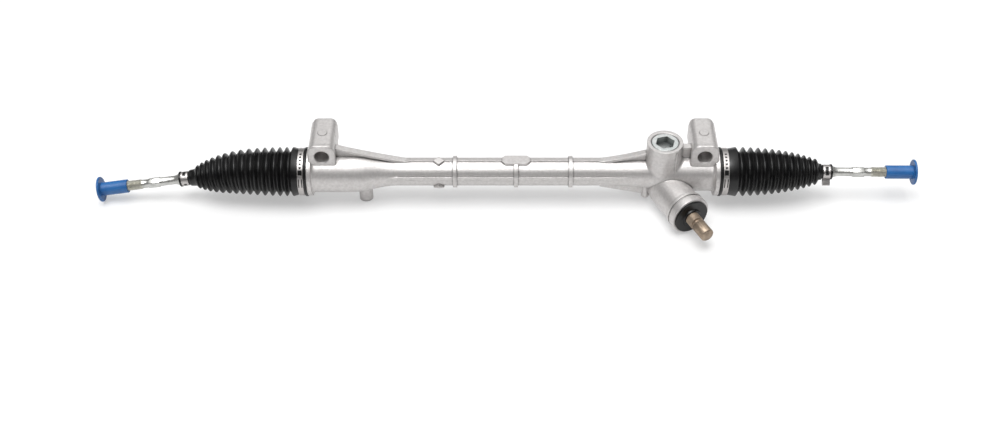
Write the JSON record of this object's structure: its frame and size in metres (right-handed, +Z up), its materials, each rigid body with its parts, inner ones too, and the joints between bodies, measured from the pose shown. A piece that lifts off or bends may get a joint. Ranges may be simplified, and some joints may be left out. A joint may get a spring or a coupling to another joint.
{
  "type": "steering rack",
  "caption": "Rack and pinion steering gear in a cast aluminium housing, with bellows boots, ball-jointed tie rods and capped threads.",
  "frame": {"origin": "midway between the axes of the two mounting sleeves, level with them and over the rack's axis", "axes": "+X along the rack towards the pinion end, +Y away from the pinion shaft's free end, +Z up along the rack guide"},
  "size_m": [1.1314, 0.1634, 0.1037],
  "materials": {
    "cast_aluminium": "blasted casting",
    "machined_aluminium": "machined",
    "ground_steel": "ground",
    "bronzed_steel": "phosphated and oiled",
    "bearing_steel": "polished",
    "spring_steel": "oiled",
    "zinc_steel": "zinc plated",
    "band_steel": "bright band",
    "bearing_plastic": "matt",
    "blue_plastic": "soft gloss",
    "black_rubber": "matt"
  },
  "bodies": {
    "housing": {"housing": "cast_aluminium", "pinion_needle_bearing": "bearing_steel", "bearing_outer_ring": "bearing_steel", "bearing_balls": "bearing_steel", "bearing_plug": "machined_aluminium", "pinion_seal": "black_rubber", "pinion_dust_cover": "black_rubber", "rack_guide": "machined_aluminium", "guide_liner": "bearing_plastic", "guide_springs": "spring_steel", "guide_plug": "machined_aluminium", "rack_bush": "bearing_plastic", "bush_ring": "spring_steel", "left_boot": "black_rubber", "right_boot": "black_rubber", "left_big_band": "band_steel", "right_big_band": "band_steel"},
    "rack": {"rack_bar": "ground_steel", "left_ball_socket": "zinc_steel", "right_ball_socket": "zinc_steel", "left_stop_washer": "zinc_steel", "right_stop_washer": "zinc_steel"},
    "pinion": {"pinion_shaft": "bronzed_steel", "bearing_inner_ring": "bearing_steel", "bearing_circlip": "spring_steel"},
    "left_ball_seat": {"left_ball_seat": "bearing_plastic"},
    "left_boot_end": {"left_small_band": "band_steel"},
    "left_tie_rod": {"left_tie_rod": "zinc_steel"},
    "left_thread_cap": {"left_thread_cap": "blue_plastic"},
    "right_ball_seat": {"right_ball_seat": "bearing_plastic"},
    "right_boot_end": {"right_small_band": "band_steel"},
    "right_tie_rod": {"right_tie_rod": "zinc_steel"},
    "right_thread_cap": {"right_thread_cap": "blue_plastic"}
  },
  "joints": [
    {"name": "rack_slide", "type": "slide", "parent": "housing", "child": "rack", "axis": [1, 0, 0], "range_m": [-0.059, 0.081], "deforming": ["left_boot", "right_boot"]},
    {"name": "pinion_spin", "type": "hinge", "parent": "housing", "child": "pinion", "pos_m": [0.206, 0, -0.0569], "axis": [0.4384, -0.8988, 0], "range_deg": [-554, 404]},
    {"name": "left_rod_swing", "type": "hinge", "parent": "rack", "child": "left_ball_seat", "pos_m": [-0.376, 0, -0.038], "axis": [0, 0, 1], "range_deg": [-25, 25]},
    {"name": "left_rod_lift", "type": "hinge", "parent": "left_ball_seat", "child": "left_boot_end", "pos_m": [-0.376, 0, -0.038], "axis": [0, 1, 0], "range_deg": [-16.6, 33.4]},
    {"name": "left_rod_twist", "type": "hinge", "parent": "left_boot_end", "child": "left_tie_rod", "pos_m": [-0.376, 0, -0.038], "axis": [-0.9893, -0.0229, -0.1443], "continuous": true},
    {"name": "left_cap_pull", "type": "slide", "parent": "left_tie_rod", "child": "left_thread_cap", "axis": [-0.9893, -0.0229, -0.1443], "range_m": [0, 0.036]},
    {"name": "right_rod_swing", "type": "hinge", "parent": "rack", "child": "right_ball_seat", "pos_m": [0.354, 0, -0.038], "axis": [0, 0, 1], "range_deg": [-25, 25]},
    {"name": "right_rod_lift", "type": "hinge", "parent": "right_ball_seat", "child": "right_boot_end", "pos_m": [0.354, 0, -0.038], "axis": [0, 1, 0], "range_deg": [-25.3, 24.7]},
    {"name": "right_rod_twist", "type": "hinge", "parent": "right_boot_end", "child": "right_tie_rod", "pos_m": [0.354, 0, -0.038], "axis": [1, 0, -0.0052], "continuous": true},
    {"name": "right_cap_pull", "type": "slide", "parent": "right_tie_rod", "child": "right_thread_cap", "axis": [1, 0, -0.0052], "range_m": [0, 0.036]}
  ],
  "couplings": [
    {"joint": "pinion_spin", "follows": "rack_slide", "rad_per_m": -119.05}
  ]
}
